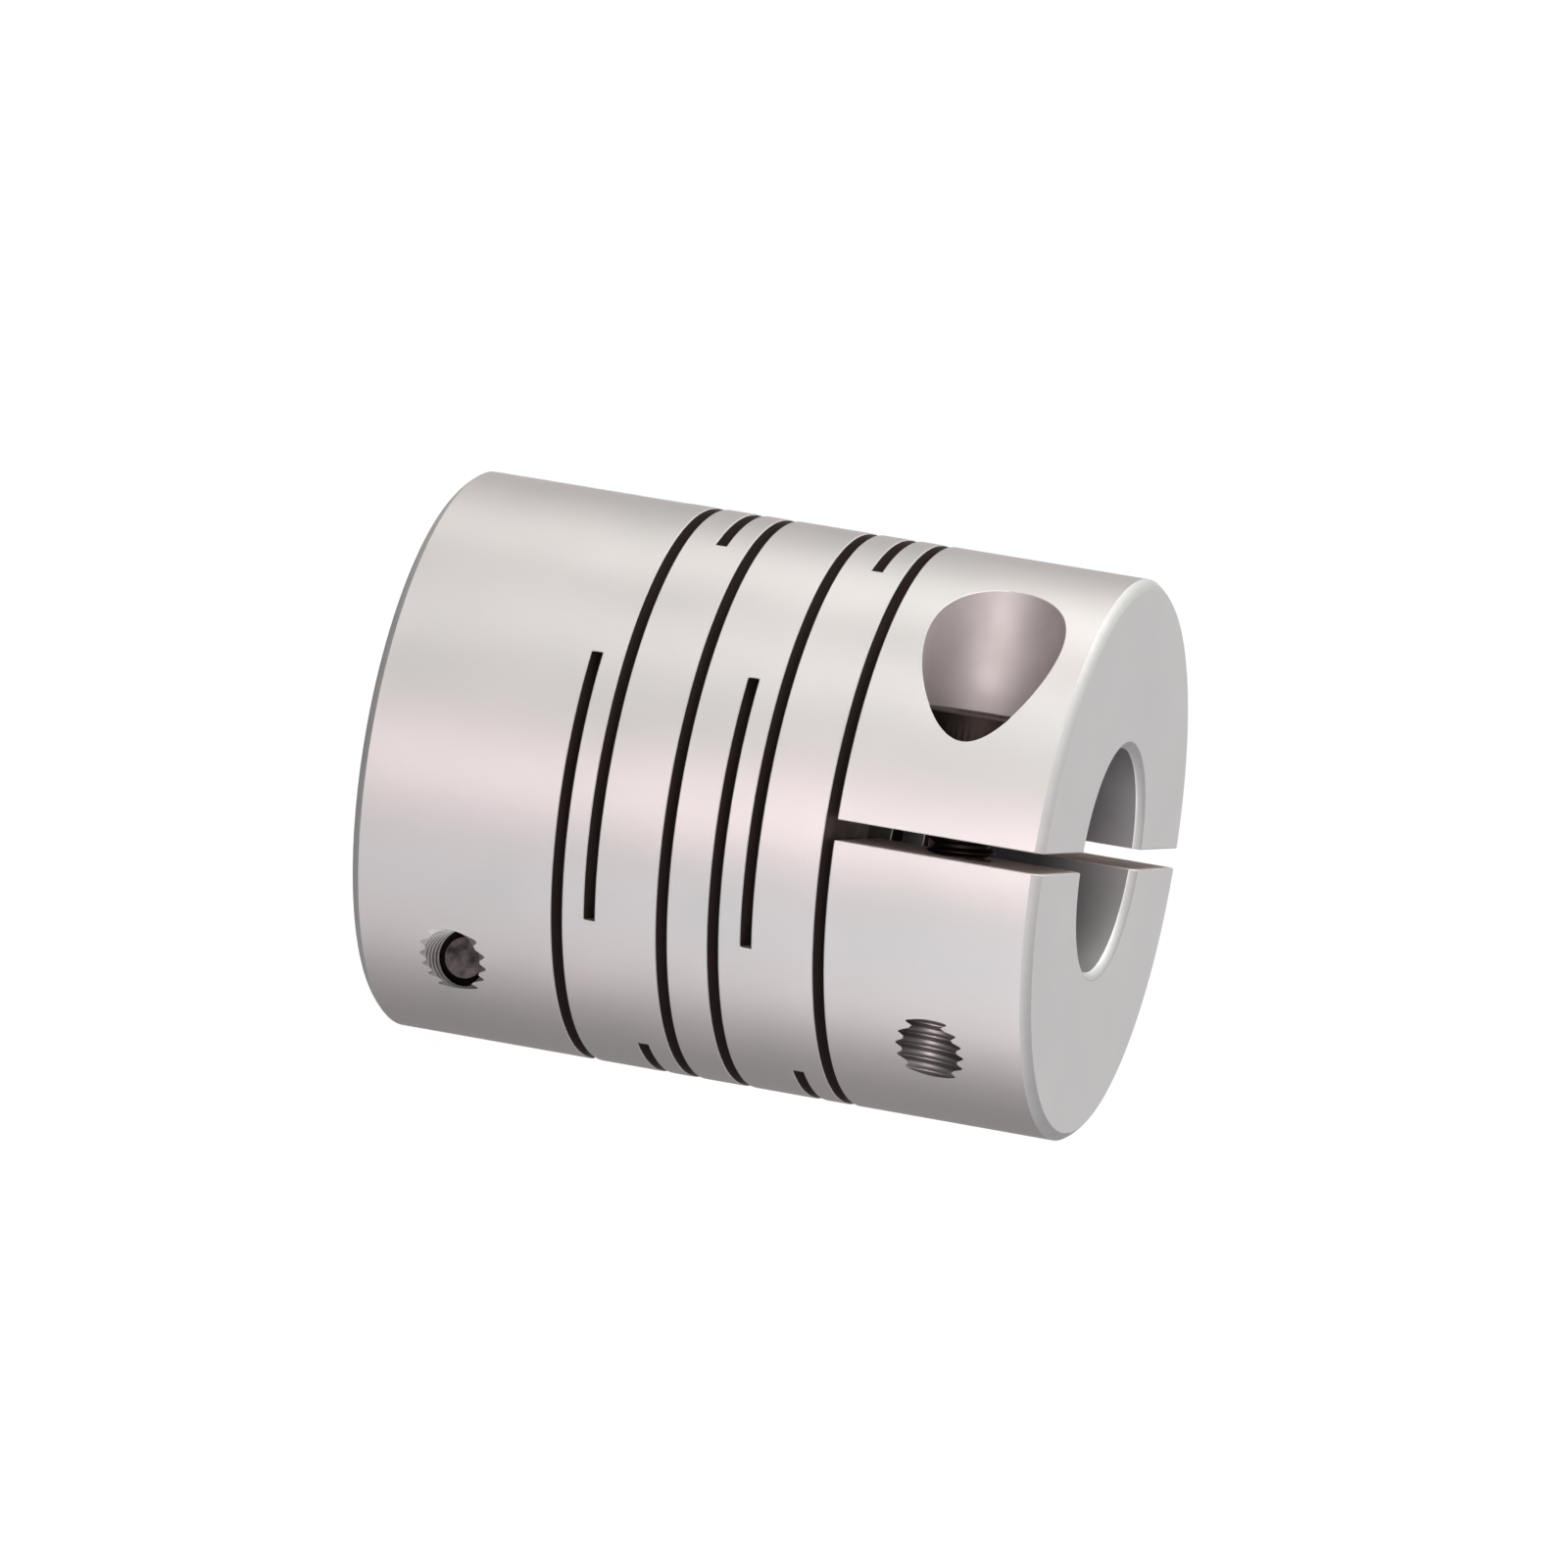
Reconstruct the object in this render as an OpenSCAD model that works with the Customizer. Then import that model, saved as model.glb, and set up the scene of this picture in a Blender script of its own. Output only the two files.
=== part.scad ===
// One-piece flexible coupling with parallel slots and a split clamp hub at each end.
// It stands on one end face, with its axis on +Z and its origin at the middle of that face.

/* [Body] */
// Outside diameter
body_d = 25; // [24.5:0.5:28]
// Overall length, end face to end face
body_len = 31; // [30:0.5:36]
// Chamfer on the outer rim of each end
rim_chamfer = 0.4; // [0.2:0.1:0.8]

/* [Shaft bore] */
// Bore that takes a shaft at each end
bore_d = 10; // [8:0.5:10]
// Chamfer at each mouth of the bore
bore_chamfer = 0.3; // [0.1:0.1:0.5]

/* [Flexure slots] */
// Width of a slot
slot_w = 0.5; // [0.4:0.05:0.7]
// How far a slot runs past the far side of the bore
slot_past_bore = 0.8; // [0.4:0.1:1.2]
// Centre distance of the two opposed slots in a pair
pair_pitch = 1.5; // [1.4:0.05:1.7]
// Centre distance between one pair and the pair turned a quarter from it
cross_pitch = 1.8; // [1.6:0.05:2]
// Centre distance between the two groups of slots, across the middle
middle_pitch = 2.35; // [2:0.05:2.6]

/* [Clamp] */
// Width of the slit that splits a hub
slit_w = 0.9; // [0.6:0.1:1.2]
// Screw axis to the outside of the body
screw_cover = 3.9; // [3.5:0.1:4]
// Screw axis to the end face
screw_inset = 4.6; // [4.2:0.1:4.8]
// Seat under the screw head to the middle of the slit
seat_depth = 2.8; // [2.4:0.1:3.2]

/* [Clamp screw] */
// Nominal thread diameter
screw_d = 3; // [2.6:0.1:3]
// Length under the head
screw_len = 10; // [8:1:10]
// Head diameter
head_d = 5.5; // [5:0.1:5.6]
// Head height
head_h = 3; // [2.5:0.1:3]
// Hexagon socket, across flats
socket_af = 2.5; // [2:0.1:2.5]
// Depth of the hexagon socket
socket_depth = 1.5; // [1:0.1:1.6]
// Chamfer on the rim of the head
head_chamfer = 0.25; // [0.1:0.05:0.4]
// Chamfer at the screw tip
tip_chamfer = 0.4; // [0.2:0.05:0.5]

/* [Clearances] */
// Around the screw head in its counterbore, on the radius
head_gap = 0.25; // [0.15:0.05:0.3]
// Around the screw in the plain hole, on the radius
shank_gap = 0.2; // [0.1:0.05:0.3]
// Around the screw in the tapped hole, on the radius
thread_gap = 0.05; // [0.03:0.01:0.1]

/* [Hidden] */
$fn = 96;

body_r = body_d / 2;
bore_r = bore_d / 2;
slot_reach = bore_r + slot_past_bore;

// Slot heights in the upper group, from the middle of the coupling outwards
slot_1_z = (body_len + middle_pitch) / 2;
slot_2_z = slot_1_z + pair_pitch;
slot_3_z = slot_2_z + cross_pitch;
slot_4_z = slot_3_z + pair_pitch;

// Each slot's height and the direction of its open side, in degrees from +X
slots = [
    [slot_1_z, 0],
    [slot_2_z, 180],
    [slot_3_z, 90],
    [slot_4_z, -90],
];

screw_offset = body_r - screw_cover;
screw_z = body_len - screw_inset;
screw_r = screw_d / 2;
head_r = head_d / 2;
// A circle round the hexagon, through its corners
socket_r = socket_af / 2 / cos(30);

// Turns the upper end's features half a turn, about a line across the middle, to the lower end
module at_lower_end() {
    translate([0, 0, body_len])
        rotate(180, v = [1, -1, 0])
            children();
}

// The turned blank: a tube with chamfered rims and chamfered bore mouths
module blank() {
    rotate_extrude()
        polygon([
            [bore_r + bore_chamfer, 0],
            [body_r - rim_chamfer, 0],
            [body_r, rim_chamfer],
            [body_r, body_len - rim_chamfer],
            [body_r - rim_chamfer, body_len],
            [bore_r + bore_chamfer, body_len],
            [bore_r, body_len - bore_chamfer],
            [bore_r, bore_chamfer],
        ]);
}

// One saw cut from the open side through the bore, which leaves a ligament on the far side
module slot(z, open_side) {
    rotate(open_side)
        translate([-slot_reach, -body_d, z - slot_w / 2])
            cube([slot_reach + body_d, 2 * body_d, slot_w]);
}

// The slit across the whole hub, from its end face down into the last slot
module clamp_slit() {
    translate([-slit_w / 2, -body_d, slot_4_z])
        cube([slit_w, 2 * body_d, body_len]);
}

// A frame on the screw axis: its origin on the head seat, the head towards its +Z
module at_screw() {
    translate([-seat_depth, -screw_offset, screw_z])
        rotate([0, -90, 0])
            children();
}

// Counterbore, plain hole to the slit and tapped hole beyond it, right through the hub
module screw_hole() {
    at_screw() {
        cylinder(r = head_r + head_gap, h = body_d);
        translate([0, 0, -seat_depth])
            cylinder(r = screw_r + shank_gap, h = 2 * seat_depth);
        translate([0, 0, -body_d])
            cylinder(r = screw_r + thread_gap, h = body_d);
    }
}

// Everything that is cut into the upper half
module end_cuts() {
    for (s = slots)
        slot(s[0], s[1]);
    clamp_slit();
    screw_hole();
}

// Socket head cap screw, with the plane under its head at z = 0
module clamp_screw() {
    difference() {
        rotate_extrude()
            polygon([
                [0, -screw_len],
                [screw_r - tip_chamfer, -screw_len],
                [screw_r, -screw_len + tip_chamfer],
                [screw_r, 0],
                [head_r, 0],
                [head_r, head_h - head_chamfer],
                [head_r - head_chamfer, head_h],
                [0, head_h],
            ]);
        translate([0, 0, head_h - socket_depth])
            cylinder(r = socket_r, h = head_h, $fn = 6);
    }
}

module coupling_body() {
    color([0.84, 0.82, 0.81])
        difference() {
            blank();
            end_cuts();
            at_lower_end()
                end_cuts();
        }
}

module lower_clamp_screw() {
    color([0.12, 0.11, 0.11])
        at_lower_end()
            at_screw()
                clamp_screw();
}

module upper_clamp_screw() {
    color([0.12, 0.11, 0.11])
        at_screw()
            clamp_screw();
}

coupling_body();
lower_clamp_screw();
upper_clamp_screw();
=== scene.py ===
import math

import bmesh
import bpy
from mathutils import Matrix, Vector


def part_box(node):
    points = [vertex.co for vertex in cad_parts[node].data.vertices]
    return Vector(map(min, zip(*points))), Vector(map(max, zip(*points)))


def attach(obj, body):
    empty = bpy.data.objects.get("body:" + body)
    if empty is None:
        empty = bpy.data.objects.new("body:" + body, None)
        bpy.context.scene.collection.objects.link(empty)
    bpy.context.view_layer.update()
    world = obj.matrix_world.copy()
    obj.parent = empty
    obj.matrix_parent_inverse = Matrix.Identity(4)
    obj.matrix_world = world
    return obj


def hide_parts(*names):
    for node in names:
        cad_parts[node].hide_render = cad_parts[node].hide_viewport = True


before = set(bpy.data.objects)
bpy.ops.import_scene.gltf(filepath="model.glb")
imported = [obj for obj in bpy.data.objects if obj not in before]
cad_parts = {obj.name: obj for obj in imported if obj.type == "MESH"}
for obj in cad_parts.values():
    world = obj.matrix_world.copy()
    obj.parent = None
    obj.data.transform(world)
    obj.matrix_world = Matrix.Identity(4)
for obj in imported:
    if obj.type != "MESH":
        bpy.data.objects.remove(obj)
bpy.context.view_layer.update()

# A one-piece flexible coupling of bead-blasted, clear anodised aluminium, with its two black clamp screws.
# It stands on one end. Lengths are in metres, and MM turns millimetres into them.
MM = 0.001

# Sizes read from the frame
body_low, body_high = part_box("coupling_body")
BODY_RADIUS = (body_high.x - body_low.x) / 2
BODY_LENGTH = body_high.z - body_low.z
screw_low, screw_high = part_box("upper_clamp_screw")
SCREW_Y = (screw_low.y + screw_high.y) / 2
SCREW_Z = (screw_low.z + screw_high.z) / 2
HEAD_RADIUS = (screw_high.z - screw_low.z) / 2
SCREW_OVERALL = screw_high.x - screw_low.x

# Body sizes
BORE_RADIUS = 5 * MM
RIM_CHAMFER = 0.4 * MM
RIM_SOFTNESS = 0.3
BORE_CHAMFER = 0.3 * MM
SLOT_WIDTH = 0.5 * MM
SLOT_REACH = 5.8 * MM
PAIR_PITCH = 1.5 * MM
CROSS_PITCH = 1.8 * MM
MIDDLE_PITCH = 2.35 * MM
SLIT_WIDTH = 0.9 * MM
EDGE_BREAK = 0.04 * MM
MOUTH_BREAK = 0.02 * MM
# How far out a cutter reaches, well past the body
CUT_REACH = BODY_RADIUS * 1.2

# Limits in choosing edges and faces
SHARP_EDGE = math.radians(40)
SMOOTH_EDGE = math.radians(30)
# How far from a wall or a level a point may be and still be taken as on it
ON_WALL = 0.004 * MM
# Points closer than this are one point: on any piece, on a thread, and on the body after its cuts
SAME_POINT = 0.0005 * MM
SAME_THREAD_POINT = 0.001 * MM
SAME_CUT_POINT = 0.004 * MM
# Two directions whose dot product is above this are the same
SAME_WAY = 0.99
# A face of the bar that leans more than this belongs to a rim
RIM_LEAN = 0.05
# A flat face larger than this, in square metres, is shaded as truly flat
BROAD_FACE = 0.3 * MM * MM

# Clamp screw sizes
HEAD_HEIGHT = 3 * MM
HEAD_CHAMFER = 0.25 * MM
KNURL_DEPTH = 0.05 * MM
KNURL_GROOVES = 60
KNURL_START = 0.2 * MM
SOCKET_ACROSS_FLATS = 2.5 * MM
SOCKET_RADIUS = SOCKET_ACROSS_FLATS / 2 / math.cos(math.radians(30))
SOCKET_DEPTH = 1.5 * MM
SOCKET_MOUTH = 0.12 * MM
THREAD_PITCH = 0.5 * MM
TIP_CHAMFER = 0.6 * MM
SCREW_LENGTH = SCREW_OVERALL - HEAD_HEIGHT
SEAT_X = screw_low.x + HEAD_HEIGHT
HEAD_GAP = 0.25 * MM
COUNTERBORE_RADIUS = HEAD_RADIUS + HEAD_GAP
PLAIN_HOLE_RADIUS = 1.7 * MM

# Thread radii: the screw's own, and those of the hole that takes it
SCREW_CREST = 1.475 * MM
SCREW_ROOT = 1.2 * MM
HOLE_ROOT = 1.53 * MM
HOLE_CREST = 1.26 * MM
THREAD_TURNS = 32
# The bar that trims the shank to its length: just clear of the thread, and a little way into the head
TRIM_RADIUS = SCREW_CREST * 1.02
TRIM_IN_HEAD = 0.3 * MM

# Sides on round shapes
BODY_SIDES = 256
HOLE_SIDES = 96
THREAD_STEPS = 48

# Limits of the noise between which a soft patch fades in, and how far turning rings stray from true
PATCH_START = 0.3
PATCH_FULL = 0.7
RING_WOBBLE = 0.4

# Floor
FLOOR_SIZE = 10
FLOOR_COLOR = (0.1, 0.1, 0.1, 1)
FLOOR_ROUGHNESS = 0.9
FLOOR_GLOW = 0.93
WHITE = (1, 1, 1, 1)
# How much of the white background the metal shows
BACKGROUND_IN_METAL = 0.12

# Soft lamps round the coupling: name, turn from the front and height in degrees, watts, colour
LAMP_SIZE = 1.05
LAMP_DISTANCE = 2.4
LAMPS = [
    ("lowest", -75, 12, 22.7, (1, 0.95, 0.98)),
    ("low", -45, 12, 16.3, (0.84, 0.94, 1)),
    ("low_front", -15, 12, 8.12, (1, 0.95, 0.94)),
    ("front", 0, 12, 26.7, (1, 0.88, 0.92)),
    ("high_front", 30, 12, 12, (0.92, 1, 0.95)),
    ("high", 60, 12, 26.2, (0.99, 1, 0.99)),
    ("highest", 105, 12, 55, (0.99, 1, 0.98)),
    ("end_front", 0, 75, 9.2, (1, 0.86, 0.88)),
    ("end_back", 180, 20, 3.2, (0.98, 0.98, 1)),
    ("end_low", -135, 50, 1.6, (1, 1, 1)),
    ("end_high", 135, 50, 1.6, (1, 1, 1)),
]

# The photograph's view. The camera lies on its side, so that +Z points to the right of the picture
VIEW_AZIMUTH = math.radians(-2.87)
VIEW_ELEVATION = math.radians(15.0)
VIEW_ROLL = math.radians(-99.7)
VIEW_DISTANCE = 546 * MM
VIEW_RIGHT = 0.41 * MM
VIEW_UP = 0.88 * MM
SENSOR_WIDTH = 36
FOCAL_LENGTH = 283.5
NEAR_LIMIT = 10 * MM

# Slot heights in the upper group, and the side on which each is open, in degrees from +X
slot_1_z = (BODY_LENGTH + MIDDLE_PITCH) / 2
slot_2_z = slot_1_z + PAIR_PITCH
slot_3_z = slot_2_z + CROSS_PITCH
slot_4_z = slot_3_z + PAIR_PITCH
SLOTS = [(slot_1_z, 0), (slot_2_z, 180), (slot_3_z, 90), (slot_4_z, -90)]

BODY_MIDDLE = Vector((0, 0, BODY_LENGTH / 2))
# Half a turn about a line across the middle, which carries the upper end onto the lower
TO_LOWER_END = Matrix.Translation((0, 0, BODY_LENGTH)) @ Matrix.Rotation(math.pi, 4, Vector((1, -1, 0)))
ENDS = (Matrix.Identity(4), TO_LOWER_END)
# The turn at which a screw stopped
SCREW_TURN = math.radians(-75)
# From a screw with the plane under its head at z = 0 to the upper screw's place
TO_SCREW = (
    Matrix.Translation((SEAT_X, SCREW_Y, SCREW_Z))
    @ Matrix.Rotation(-math.pi / 2, 4, "Y")
    @ Matrix.Rotation(SCREW_TURN, 4, "Z")
)


# Modelling steps

def deselect_all():
    bpy.ops.object.select_all(action="DESELECT")


def make_active(piece):
    deselect_all()
    piece.select_set(True)
    bpy.context.view_layer.objects.active = piece


def settle(piece):
    """Bakes the piece's place and turn into its mesh."""
    make_active(piece)
    bpy.ops.object.transform_apply(location=True, rotation=True, scale=True)


def place(piece, matrix):
    piece.matrix_world = matrix @ piece.matrix_world
    bpy.context.view_layer.update()
    settle(piece)


def copy_of(piece, name):
    twin = piece.copy()
    twin.data = piece.data.copy()
    twin.name = name
    bpy.context.scene.collection.objects.link(twin)
    return twin


def round_bar(name, radius, low, high, sides=HOLE_SIDES):
    """An upright cylinder on the Z axis, from height low to height high."""
    deselect_all()
    bpy.ops.mesh.primitive_cylinder_add(
        vertices=sides, radius=radius, depth=high - low, location=(0, 0, (low + high) / 2)
    )
    bar = bpy.context.object
    bar.name = name
    settle(bar)
    return bar


def block(name, low, high):
    deselect_all()
    low = Vector(low)
    high = Vector(high)
    bpy.ops.mesh.primitive_cube_add(size=1, location=(low + high) / 2)
    bar = bpy.context.object
    bar.name = name
    bar.scale = high - low
    settle(bar)
    return bar


def select_edges(piece, wanted):
    """Leaves the piece in edit mode with only the wanted edges selected."""
    make_active(piece)
    bpy.ops.object.mode_set(mode="EDIT")
    bpy.ops.mesh.select_mode(type="EDGE")
    bpy.ops.mesh.select_all(action="DESELECT")
    mesh = bmesh.from_edit_mesh(piece.data)
    for edge in mesh.edges:
        if wanted(edge):
            edge.select_set(True)
    bmesh.update_edit_mesh(piece.data)


def select_faces(piece, wanted):
    """Leaves the piece in edit mode with only the wanted faces selected."""
    make_active(piece)
    bpy.ops.object.mode_set(mode="EDIT")
    bpy.ops.mesh.select_mode(type="FACE")
    bpy.ops.mesh.select_all(action="DESELECT")
    mesh = bmesh.from_edit_mesh(piece.data)
    for face in mesh.faces:
        if wanted(face):
            face.select_set(True)
    bmesh.update_edit_mesh(piece.data)


def end_edit():
    bpy.ops.object.mode_set(mode="OBJECT")


def weld(piece, gap):
    make_active(piece)
    bpy.ops.object.mode_set(mode="EDIT")
    bpy.ops.mesh.select_mode(type="VERT")
    bpy.ops.mesh.select_all(action="SELECT")
    bpy.ops.mesh.remove_doubles(threshold=gap)
    end_edit()


def face_outwards(piece):
    make_active(piece)
    bpy.ops.object.mode_set(mode="EDIT")
    bpy.ops.mesh.select_all(action="SELECT")
    bpy.ops.mesh.remove_doubles(threshold=SAME_POINT)
    bpy.ops.mesh.normals_make_consistent(inside=False)
    end_edit()


def combine(piece, tool, how):
    """Cuts, joins or intersects the piece with the tool, and uses the tool up."""
    make_active(piece)
    step = piece.modifiers.new(how.lower(), "BOOLEAN")
    step.operation = how
    step.solver = "EXACT"
    step.object = tool
    step.material_mode = "TRANSFER"
    bpy.ops.object.modifier_apply(modifier=step.name)
    bpy.data.objects.remove(tool)


def smooth(piece):
    make_active(piece)
    bpy.ops.object.shade_smooth_by_angle(angle=SMOOTH_EDGE)


def lowest(edge):
    return min(vertex.co.z for vertex in edge.verts)


def highest(edge):
    return max(vertex.co.z for vertex in edge.verts)


def true_rounds(piece, rounds):
    """Shades each broad flat face as flat, and each face on a round wall as the true cylinder.

    A round wall is the matrix of its axis, its radius, and 1 for an outside or -1 for a hole.
    """
    mesh = piece.data
    normals = [corner.vector.copy() for corner in mesh.corner_normals]
    for face in mesh.polygons:
        if face.area > BROAD_FACE:
            for corner in face.loop_indices:
                normals[corner] = face.normal.copy()
    for matrix, radius, side in rounds:
        from_axis = matrix.inverted()
        turn = matrix.to_3x3()
        outward = []
        for vertex in mesh.vertices:
            point = from_axis @ vertex.co
            on_wall = abs(math.hypot(point.x, point.y) - radius) < ON_WALL
            outward.append(turn @ Vector((point.x, point.y, 0)).normalized() * side if on_wall else None)
        for face in mesh.polygons:
            walls = [outward[i] for i in face.vertices]
            if all(wall and wall.dot(face.normal) > SAME_WAY for wall in walls):
                for corner, wall in zip(face.loop_indices, walls):
                    normals[corner] = wall
    mesh.normals_split_custom_set(normals)


def give_finish(piece, finish):
    piece.data.materials.clear()
    piece.data.materials.append(finish)


# Finishes

def new_group(name, inputs, outputs):
    group = bpy.data.node_groups.new(name, "ShaderNodeTree")
    for socket in inputs:
        group.interface.new_socket(socket, in_out="INPUT", socket_type="NodeSocketFloat")
    for socket in outputs:
        group.interface.new_socket(socket, in_out="OUTPUT", socket_type="NodeSocketFloat")
    return group


def add_node(tree, kind, **inputs):
    node = tree.nodes.new(kind)
    for name, value in inputs.items():
        node.inputs[name].default_value = value
    return node


def grain_group():
    """Bead-blast grain, and the soft patches in which an anodised surface varies."""
    group = new_group("grain", ("Grains per metre", "Patches per metre"), ("Height", "Patch"))
    start = group.nodes.new("NodeGroupInput")
    end = group.nodes.new("NodeGroupOutput")
    place_on = group.nodes.new("ShaderNodeTexCoord")
    grains = add_node(group, "ShaderNodeTexNoise", Detail=3, Roughness=0.6)
    patches = add_node(group, "ShaderNodeTexNoise", Detail=2, Roughness=0.5)
    spread = group.nodes.new("ShaderNodeMapRange")
    spread.inputs["From Min"].default_value = PATCH_START
    spread.inputs["From Max"].default_value = PATCH_FULL
    group.links.new(place_on.outputs["Object"], grains.inputs["Vector"])
    group.links.new(place_on.outputs["Object"], patches.inputs["Vector"])
    group.links.new(start.outputs["Grains per metre"], grains.inputs["Scale"])
    group.links.new(start.outputs["Patches per metre"], patches.inputs["Scale"])
    group.links.new(grains.outputs["Fac"], end.inputs["Height"])
    group.links.new(patches.outputs["Fac"], spread.inputs["Value"])
    group.links.new(spread.outputs["Result"], end.inputs["Patch"])
    return group


def rings_group():
    """Fine rings about the Z axis, as a turning tool leaves them on an end face."""
    group = new_group("turning_rings", ("Rings per metre",), ("Height",))
    start = group.nodes.new("NodeGroupInput")
    end = group.nodes.new("NodeGroupOutput")
    place_on = group.nodes.new("ShaderNodeTexCoord")
    rings = group.nodes.new("ShaderNodeTexWave")
    rings.wave_type = "RINGS"
    rings.rings_direction = "Z"
    rings.inputs["Distortion"].default_value = RING_WOBBLE
    group.links.new(place_on.outputs["Object"], rings.inputs["Vector"])
    group.links.new(start.outputs["Rings per metre"], rings.inputs["Scale"])
    group.links.new(rings.outputs["Fac"], end.inputs["Height"])
    return group


GRAIN = grain_group()
RINGS = rings_group()


def metal_finish(name, metallic, colors, roughnesses, grain, patch, bump_height, rings=None):
    """A metal finish. Its patches run between the two colours and between the two roughnesses.

    Grain and patch are sizes in metres, and so are the height of the grain and the spacing of any rings.
    """
    material = bpy.data.materials.new(name)
    material.use_nodes = True
    tree = material.node_tree
    shader = tree.nodes["Principled BSDF"]
    shader.inputs["Metallic"].default_value = metallic
    surface = tree.nodes.new("ShaderNodeGroup")
    surface.node_tree = GRAIN
    surface.inputs["Grains per metre"].default_value = 1 / grain
    surface.inputs["Patches per metre"].default_value = 1 / patch
    tint = tree.nodes.new("ShaderNodeMix")
    tint.data_type = "RGBA"
    tint.inputs["A"].default_value = (*colors[0], 1)
    tint.inputs["B"].default_value = (*colors[1], 1)
    satin = tree.nodes.new("ShaderNodeMapRange")
    satin.inputs["To Min"].default_value = roughnesses[0]
    satin.inputs["To Max"].default_value = roughnesses[1]
    bump = tree.nodes.new("ShaderNodeBump")
    bump.inputs["Strength"].default_value = 1
    bump.inputs["Distance"].default_value = bump_height
    tree.links.new(surface.outputs["Patch"], tint.inputs["Factor"])
    tree.links.new(surface.outputs["Patch"], satin.inputs["Value"])
    tree.links.new(surface.outputs["Height"], bump.inputs["Height"])
    tree.links.new(tint.outputs["Result"], shader.inputs["Base Color"])
    tree.links.new(satin.outputs["Result"], shader.inputs["Roughness"])
    tree.links.new(bump.outputs["Normal"], shader.inputs["Normal"])
    if rings:
        marks = tree.nodes.new("ShaderNodeGroup")
        marks.node_tree = RINGS
        marks.inputs["Rings per metre"].default_value = 1 / rings
        ridges = tree.nodes.new("ShaderNodeBump")
        ridges.inputs["Distance"].default_value = bump_height
        tree.links.new(marks.outputs["Height"], ridges.inputs["Height"])
        tree.links.new(ridges.outputs["Normal"], bump.inputs["Normal"])
    return material


blasted_aluminium = metal_finish(
    "blasted_aluminium", metallic=1, colors=((0.80, 0.765, 0.745), (0.80, 0.745, 0.735)),
    roughnesses=(0.385, 0.405), grain=0.07 * MM, patch=5 * MM, bump_height=0.003 * MM,
)
turned_aluminium = metal_finish(
    "turned_aluminium", metallic=1, colors=((0.79, 0.785, 0.775), (0.80, 0.79, 0.785)),
    roughnesses=(0.62, 0.66), grain=0.07 * MM, patch=4 * MM, bump_height=0.0008 * MM, rings=0.12 * MM,
)
# Bore and plain holes: the body's own aluminium, with its colour painted much darker as the shade inside
# the bore and holes.
shaded_bore_aluminium = metal_finish(
    "shaded_bore_aluminium", metallic=1, colors=((0.27, 0.26, 0.26), (0.25, 0.24, 0.24)),
    roughnesses=(0.56, 0.64), grain=0.05 * MM, patch=2 * MM, bump_height=0.0015 * MM,
)
# Counterbore walls: the body's own aluminium, with its colour painted darker as the shade inside the
# counterbore.
shaded_counterbore_aluminium = metal_finish(
    "shaded_counterbore_aluminium", metallic=1, colors=((0.575, 0.53, 0.525), (0.535, 0.49, 0.485)),
    roughnesses=(0.66, 0.72), grain=0.05 * MM, patch=2 * MM, bump_height=0.0015 * MM,
)
# Tapped holes: the body's own aluminium, with its colour painted dark as the shade inside the threaded
# holes.
shaded_tapped_aluminium = metal_finish(
    "shaded_tapped_aluminium", metallic=1, colors=((0.33, 0.305, 0.30), (0.26, 0.24, 0.235)),
    roughnesses=(0.50, 0.58), grain=0.05 * MM, patch=1 * MM, bump_height=0.001 * MM,
)
# Slot walls: the body's own aluminium, with its colour painted near black as the shade deep in the narrow
# slots.
shaded_slot_aluminium = metal_finish(
    "shaded_slot_aluminium", metallic=1, colors=((0.19, 0.135, 0.125), (0.15, 0.105, 0.097)),
    roughnesses=(0.50, 0.60), grain=0.04 * MM, patch=1 * MM, bump_height=0.002 * MM,
)
# Slit walls: the body's own aluminium, with its colour painted lighter and warmer as painted light, the
# lit, cream far wall of the slit.
lit_slit_aluminium = metal_finish(
    "lit_slit_aluminium", metallic=1, colors=((0.86, 0.77, 0.73), (0.80, 0.71, 0.67)),
    roughnesses=(0.42, 0.50), grain=0.04 * MM, patch=1 * MM, bump_height=0.002 * MM,
)
# Edge breaks and rims: a rougher finish, with the colour painted darker than the body as shade on the
# chamfers.
shaded_edge_breaks = metal_finish(
    "shaded_edge_breaks", metallic=1, colors=((0.62, 0.62, 0.61), (0.58, 0.58, 0.57)),
    roughnesses=(0.62, 0.70), grain=0.05 * MM, patch=1 * MM, bump_height=0.001 * MM,
)
black_steel = metal_finish(
    "black_steel", metallic=1, colors=((0.020, 0.0145, 0.013), (0.030, 0.022, 0.020)),
    roughnesses=(0.50, 0.60), grain=0.05 * MM, patch=0.8 * MM, bump_height=0.002 * MM,
)
cut_steel = metal_finish(
    "cut_steel", metallic=0.7, colors=((0.022, 0.019, 0.018), (0.12, 0.098, 0.096)),
    roughnesses=(0.38, 0.50), grain=0.08 * MM, patch=0.5 * MM, bump_height=0.006 * MM,
)


# The thread, as one rod that is both the screw's own shape and the cutter for its hole

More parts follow.
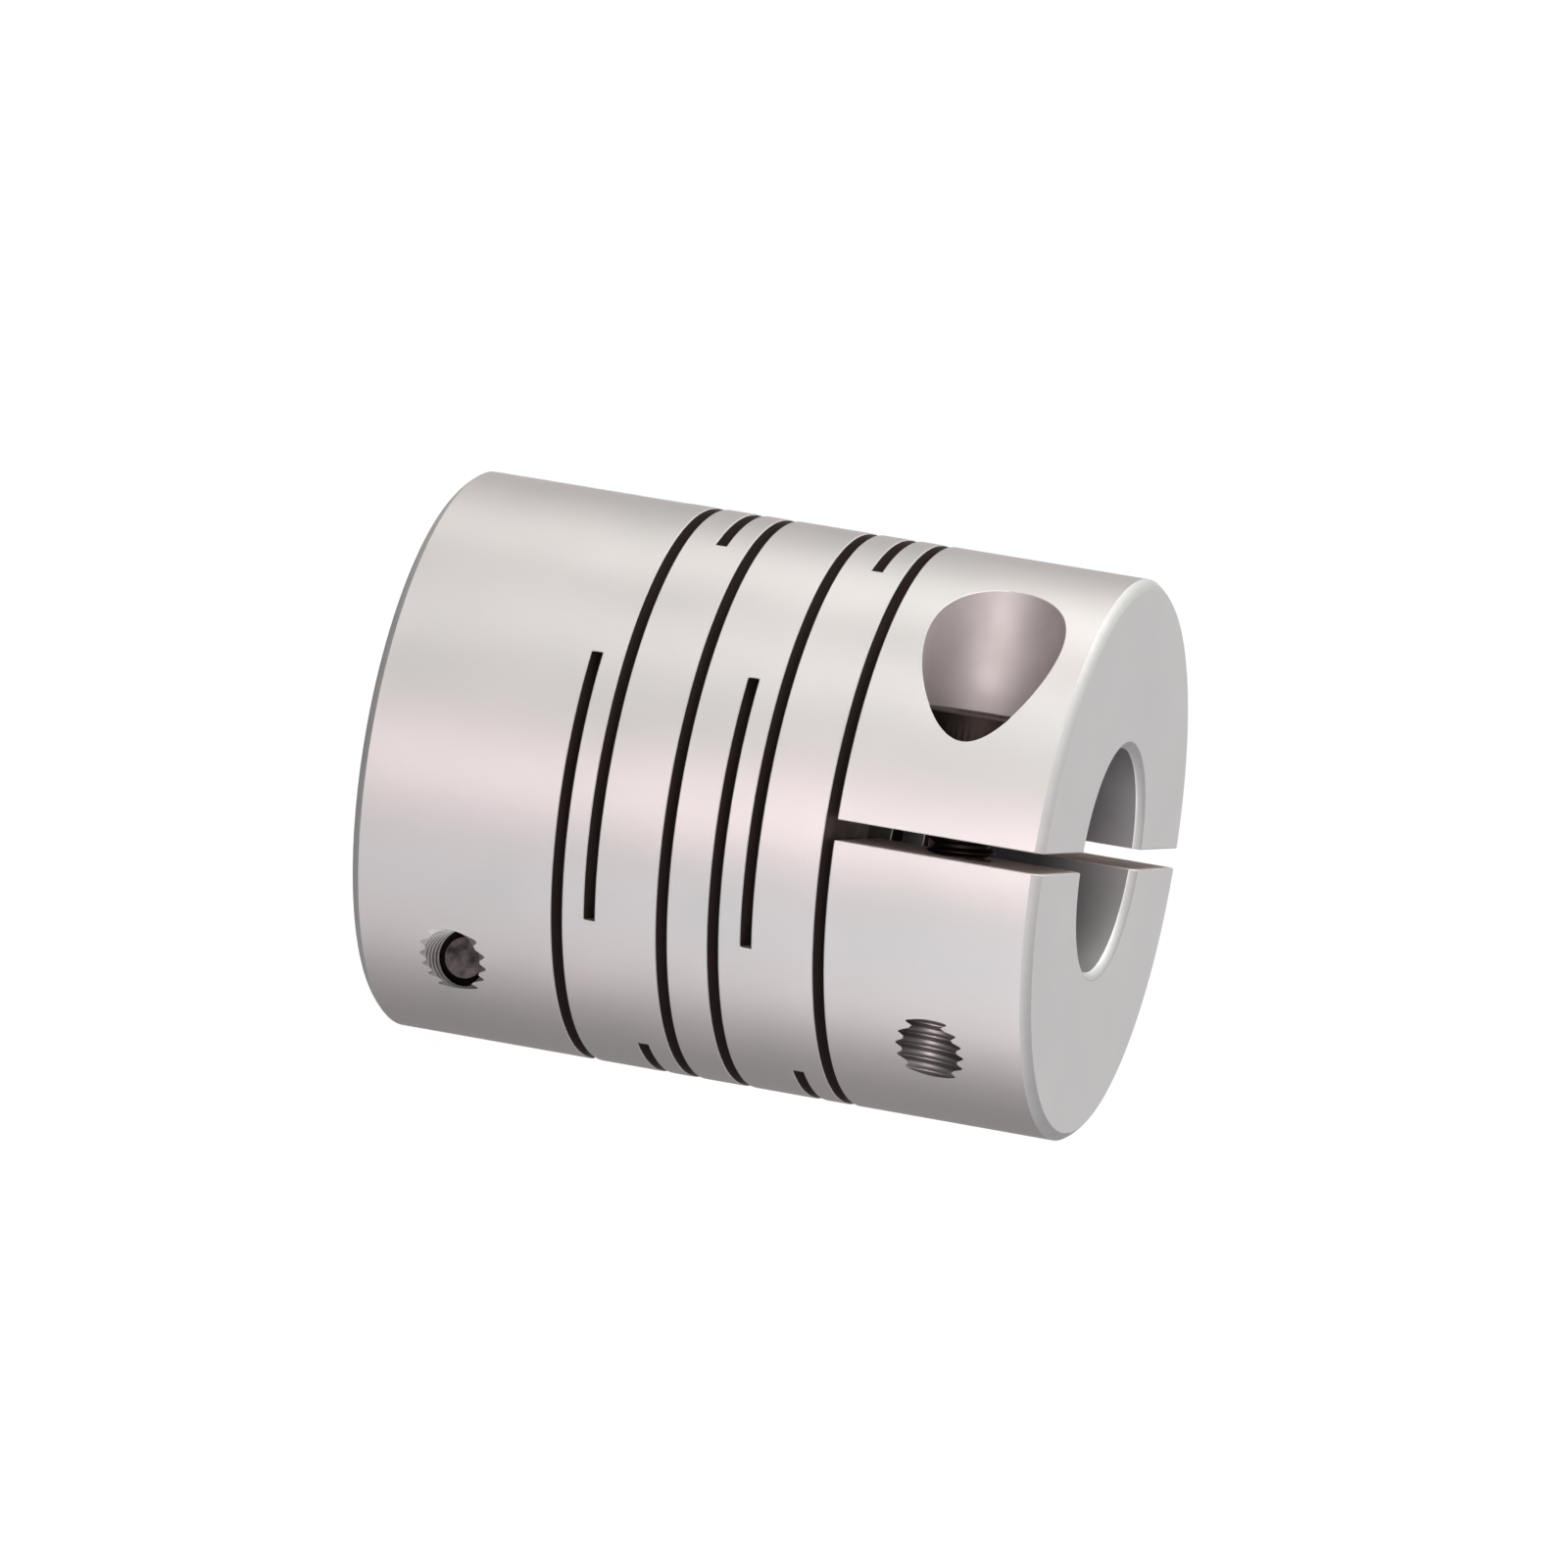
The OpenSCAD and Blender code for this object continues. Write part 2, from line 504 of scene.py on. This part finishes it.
def thread_rod(name, crest_radius, root_radius):
    """A right-hand threaded rod below z = 0. Both radii share one helix, so a screw fits its hole."""
    half_crest = THREAD_PITCH / 16
    half_root = THREAD_PITCH / 8
    middle = THREAD_PITCH / 2
    outline = [
        (crest_radius, -half_crest),
        (crest_radius, half_crest),
        (root_radius, middle - half_root),
        (root_radius, middle + half_root),
        (crest_radius, THREAD_PITCH - half_crest),
    ]
    mesh = bpy.data.meshes.new(name)
    points = [(radius, 0, z) for radius, z in outline]
    mesh.from_pydata(points, [(i, i + 1) for i in range(len(points) - 1)], [])
    rod = bpy.data.objects.new(name, mesh)
    bpy.context.scene.collection.objects.link(rod)
    make_active(rod)
    winding = rod.modifiers.new("winding", "SCREW")
    winding.axis = "Z"
    winding.screw_offset = THREAD_PITCH
    winding.iterations = THREAD_TURNS
    winding.steps = THREAD_STEPS
    winding.render_steps = THREAD_STEPS
    winding.use_merge_vertices = True
    winding.merge_threshold = SAME_THREAD_POINT
    bpy.ops.object.modifier_apply(modifier=winding.name)
    bpy.ops.object.mode_set(mode="EDIT")
    bpy.ops.mesh.select_mode(type="EDGE")
    bpy.ops.mesh.select_all(action="SELECT")
    bpy.ops.mesh.remove_doubles(threshold=SAME_THREAD_POINT)
    end_edit()
    for end in (0, THREAD_PITCH * THREAD_TURNS):
        select_edges(rod, lambda e: e.is_boundary and abs(e.verts[0].co.z - end) < 2 * THREAD_PITCH)
        bpy.ops.mesh.extrude_region_move()
        bpy.ops.mesh.merge(type="CENTER")
        end_edit()
    face_outwards(rod)
    place(rod, Matrix.Translation((0, 0, -THREAD_PITCH * THREAD_TURNS)))
    return rod


# Coupling body

def in_screw_hole(point, above_seat):
    """Whether a point of the body is on either screw's counterbore, or on its tapped hole."""
    for end in ENDS:
        local = (end @ TO_SCREW).inverted() @ point
        reach = math.hypot(local.x, local.y)
        if above_seat and local.z > HEAD_HEIGHT and reach < COUNTERBORE_RADIUS + ON_WALL:
            return True
        if not above_seat and local.z < SEAT_X and reach < HOLE_ROOT + ON_WALL:
            return True
    return False


def break_edges(piece, edge_finish):
    """A fine chamfer on every sharp edge but those of the threads, finest at a counterbore's mouth."""
    finish_slot = piece.data.materials.find(edge_finish.name)
    for width, at_mouth in ((EDGE_BREAK, False), (MOUTH_BREAK, True)):
        select_edges(piece, lambda e: (
            e.is_manifold
            and e.calc_face_angle() > SHARP_EDGE
            and not any(in_screw_hole(v.co, False) for v in e.verts)
            and all(in_screw_hole(v.co, True) for v in e.verts) == at_mouth
        ))
        bpy.ops.mesh.bevel(
            offset=width, segments=1, affect="EDGES", clamp_overlap=False, material=finish_slot
        )
        end_edit()


def blank():
    """The turned bar: chamfered rims, and a bore with chamfered mouths."""
    bar = round_bar("body", BODY_RADIUS, 0, BODY_LENGTH, BODY_SIDES)
    select_edges(bar, lambda e: highest(e) - lowest(e) < ON_WALL)
    bpy.ops.mesh.bevel(offset=RIM_CHAMFER, segments=4, profile=RIM_SOFTNESS, affect="EDGES")
    end_edit()
    # Each end face is inset to the bore's mouth and sunk by its chamfer, and a wall then joins the two
    select_faces(bar, lambda f: abs(f.normal.z) > SAME_WAY)
    mouth_radius = BORE_RADIUS + BORE_CHAMFER
    bpy.ops.mesh.inset(thickness=BODY_RADIUS - RIM_CHAMFER - mouth_radius)
    bpy.ops.mesh.inset(thickness=BORE_CHAMFER, depth=-BORE_CHAMFER)
    bpy.ops.mesh.bridge_edge_loops()
    end_edit()
    face_outwards(bar)
    bar.data.materials.clear()
    finishes = [blasted_aluminium, turned_aluminium, shaded_bore_aluminium, shaded_edge_breaks]
    for metal in finishes:
        bar.data.materials.append(metal)
    for face in bar.data.polygons:
        lean = abs(face.normal.z)
        if face.center.xy.length < BORE_RADIUS + ON_WALL:
            metal = shaded_bore_aluminium
        elif lean > SAME_WAY:
            metal = turned_aluminium
        elif lean > RIM_LEAN:
            metal = shaded_edge_breaks
        else:
            metal = blasted_aluminium
        face.material_index = finishes.index(metal)
    return bar


def slot_cutter(height, open_side):
    low = (-SLOT_REACH, -CUT_REACH, height - SLOT_WIDTH / 2)
    high = (CUT_REACH, CUT_REACH, height + SLOT_WIDTH / 2)
    cutter = block("slot", low, high)
    give_finish(cutter, shaded_slot_aluminium)
    place(cutter, Matrix.Rotation(math.radians(open_side), 4, "Z"))
    return cutter


def slit_cutter():
    low = (-SLIT_WIDTH / 2, -CUT_REACH, slot_4_z)
    high = (SLIT_WIDTH / 2, CUT_REACH, BODY_LENGTH + CUT_REACH)
    cutter = block("slit", low, high)
    give_finish(cutter, lit_slit_aluminium)
    return cutter


def counterbore_cutter():
    cutter = round_bar("counterbore", COUNTERBORE_RADIUS, 0, BODY_RADIUS)
    give_finish(cutter, shaded_counterbore_aluminium)
    place(cutter, TO_SCREW)
    return cutter


def plain_hole_cutter():
    cutter = round_bar("plain_hole", PLAIN_HOLE_RADIUS, SEAT_X, -SEAT_X)
    give_finish(cutter, shaded_bore_aluminium)
    place(cutter, TO_SCREW)
    return cutter


def tap_cutter():
    cutter = thread_rod("tap", HOLE_ROOT, HOLE_CREST)
    give_finish(cutter, shaded_tapped_aluminium)
    place(cutter, TO_SCREW)
    return cutter


def coupling_body():
    body = blank()
    cutters = [slot_cutter(height, side) for height, side in SLOTS]
    cutters += [slit_cutter(), counterbore_cutter(), plain_hole_cutter(), tap_cutter()]
    for cutter in cutters:
        twin = copy_of(cutter, cutter.name + "_lower")
        place(twin, TO_LOWER_END)
        face_outwards(twin)
        combine(body, cutter, "DIFFERENCE")
        combine(body, twin, "DIFFERENCE")
    weld(body, SAME_CUT_POINT)
    break_edges(body, shaded_edge_breaks)
    smooth(body)
    rounds = [(Matrix.Identity(4), BODY_RADIUS, 1), (Matrix.Identity(4), BORE_RADIUS, -1)]
    for end in ENDS:
        rounds += [(end @ TO_SCREW, COUNTERBORE_RADIUS, -1), (end @ TO_SCREW, PLAIN_HOLE_RADIUS, -1)]
    true_rounds(body, rounds)
    return body


# Clamp screws

def clamp_screw():
    """A socket head cap screw on the plane under its head, with its shank downwards."""
    head = round_bar("head", HEAD_RADIUS, 0, HEAD_HEIGHT, 2 * KNURL_GROOVES)
    give_finish(head, black_steel)
    select_edges(head, lambda e: lowest(e) > HEAD_HEIGHT - ON_WALL)
    bpy.ops.mesh.bevel(offset=HEAD_CHAMFER, segments=2, affect="EDGES")
    end_edit()
    select_edges(head, lambda e: highest(e) < KNURL_START)
    bpy.ops.mesh.bevel(offset=KNURL_START, segments=1, affect="EDGES")
    end_edit()
    half_tooth = math.pi / KNURL_GROOVES
    select_edges(head, lambda e: is_groove(e, half_tooth))
    inwards = 1 - KNURL_DEPTH / HEAD_RADIUS
    bpy.ops.transform.resize(value=(inwards, inwards, 1), center_override=(0, 0, 0))
    end_edit()
    socket = round_bar("socket", SOCKET_RADIUS, HEAD_HEIGHT - SOCKET_DEPTH, HEAD_HEIGHT * 2, 6)
    give_finish(socket, black_steel)
    combine(head, socket, "DIFFERENCE")
    select_edges(head, lambda e: (
        lowest(e) > HEAD_HEIGHT - ON_WALL
        and max(v.co.xy.length for v in e.verts) < SOCKET_RADIUS + ON_WALL
    ))
    bpy.ops.mesh.bevel(offset=SOCKET_MOUTH, segments=1, affect="EDGES", clamp_overlap=False)
    end_edit()
    shank = thread_rod("shank", SCREW_CREST, SCREW_ROOT)
    give_finish(shank, black_steel)
    trim = round_bar("trim", TRIM_RADIUS, -SCREW_LENGTH, TRIM_IN_HEAD)
    give_finish(trim, black_steel)
    select_edges(trim, lambda e: highest(e) < -SCREW_LENGTH + ON_WALL)
    bpy.ops.mesh.bevel(offset=TIP_CHAMFER, segments=1, affect="EDGES")
    end_edit()
    trim.data.materials.append(cut_steel)
    for face in trim.data.polygons:
        if face.normal.z < -SAME_WAY:
            face.material_index = 1
    combine(shank, trim, "INTERSECT")
    combine(head, shank, "UNION")
    face_outwards(head)
    smooth(head)
    return head


def is_groove(edge, half_tooth):
    """Whether an upright edge on the side of the head is the floor of a knurl groove."""
    if highest(edge) - lowest(edge) < HEAD_HEIGHT / 2:
        return False
    if any(vertex.co.xy.length < HEAD_RADIUS - KNURL_DEPTH / 2 for vertex in edge.verts):
        return False
    end = edge.verts[0].co
    return round(math.atan2(end.y, end.x) / half_tooth) % 2 == 0


# Floor, light and camera

def background_share(tree, camera_share, metal_share):
    """A strength that only the camera and rays off metal or through glass meet."""
    path = tree.nodes.new("ShaderNodeLightPath")
    seen_in = tree.nodes.new("ShaderNodeMath")
    seen_in.operation = "MAXIMUM"
    tree.links.new(path.outputs["Is Glossy Ray"], seen_in.inputs[0])
    tree.links.new(path.outputs["Is Transmission Ray"], seen_in.inputs[1])
    reflected = tree.nodes.new("ShaderNodeMath")
    reflected.operation = "MULTIPLY"
    reflected.inputs[1].default_value = metal_share
    tree.links.new(seen_in.outputs[0], reflected.inputs[0])
    total = tree.nodes.new("ShaderNodeMath")
    total.operation = "MULTIPLY_ADD"
    total.inputs[1].default_value = camera_share
    tree.links.new(path.outputs["Is Camera Ray"], total.inputs[0])
    tree.links.new(reflected.outputs[0], total.inputs[2])
    return total.outputs[0]


def pale_floor():
    deselect_all()
    bpy.ops.mesh.primitive_plane_add(size=FLOOR_SIZE)
    floor = bpy.context.object
    floor.name = "floor"
    paint = bpy.data.materials.new("floor")
    paint.use_nodes = True
    tree = paint.node_tree
    shader = tree.nodes["Principled BSDF"]
    shader.inputs["Base Color"].default_value = FLOOR_COLOR
    shader.inputs["Roughness"].default_value = FLOOR_ROUGHNESS
    shader.inputs["Emission Color"].default_value = WHITE
    glow = background_share(tree, FLOOR_GLOW, BACKGROUND_IN_METAL)
    tree.links.new(glow, shader.inputs["Emission Strength"])
    floor.data.materials.append(paint)


def white_world():
    world = bpy.data.worlds.new("world")
    bpy.context.scene.world = world
    world.use_nodes = True
    tree = world.node_tree
    background = tree.nodes["Background"]
    background.inputs["Color"].default_value = WHITE
    tree.links.new(background_share(tree, 1, BACKGROUND_IN_METAL), background.inputs["Strength"])


def lamp(name, around, height, watts, color):
    """A soft square lamp that faces the coupling. Around is its turn from the front towards -X."""
    data = bpy.data.lights.new(name, "AREA")
    data.shape = "SQUARE"
    data.size = LAMP_SIZE
    data.energy = watts
    data.color = color
    light = bpy.data.objects.new(name, data)
    bpy.context.scene.collection.objects.link(light)
    turned = math.radians(around)
    raised = math.radians(height)
    towards = Vector((
        -math.sin(turned) * math.cos(raised),
        -math.cos(turned) * math.cos(raised),
        math.sin(raised),
    ))
    light.location = BODY_MIDDLE + towards * LAMP_DISTANCE
    light.rotation_mode = "QUATERNION"
    light.rotation_quaternion = (-towards).to_track_quat("-Z", "Y")


def view_camera():
    data = bpy.data.cameras.new("camera")
    data.sensor_width = SENSOR_WIDTH
    data.lens = FOCAL_LENGTH
    data.clip_start = NEAR_LIMIT
    camera = bpy.data.objects.new("camera", data)
    bpy.context.scene.collection.objects.link(camera)
    back = Vector((
        math.sin(VIEW_AZIMUTH) * math.cos(VIEW_ELEVATION),
        -math.cos(VIEW_AZIMUTH) * math.cos(VIEW_ELEVATION),
        math.sin(VIEW_ELEVATION),
    ))
    level = (-back).to_track_quat("-Z", "Y").to_matrix().to_4x4()
    camera.matrix_world = (
        Matrix.Translation(BODY_MIDDLE + back * VIEW_DISTANCE)
        @ level
        @ Matrix.Rotation(-VIEW_ROLL, 4, "Z")
        @ Matrix.Translation((VIEW_RIGHT, VIEW_UP, 0))
    )
    bpy.context.scene.camera = camera


# Put together

body = coupling_body()
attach(body, "root")
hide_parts("coupling_body")

screw = clamp_screw()
for name, end in zip(("upper", "lower"), ENDS):
    piece = copy_of(screw, name + "_screw")
    place(piece, end @ TO_SCREW)
    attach(piece, "root")
    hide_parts(name + "_clamp_screw")
bpy.data.objects.remove(screw)

pale_floor()
white_world()
for values in LAMPS:
    lamp(*values)
view_camera()
bpy.context.scene.view_settings.view_transform = "Standard"
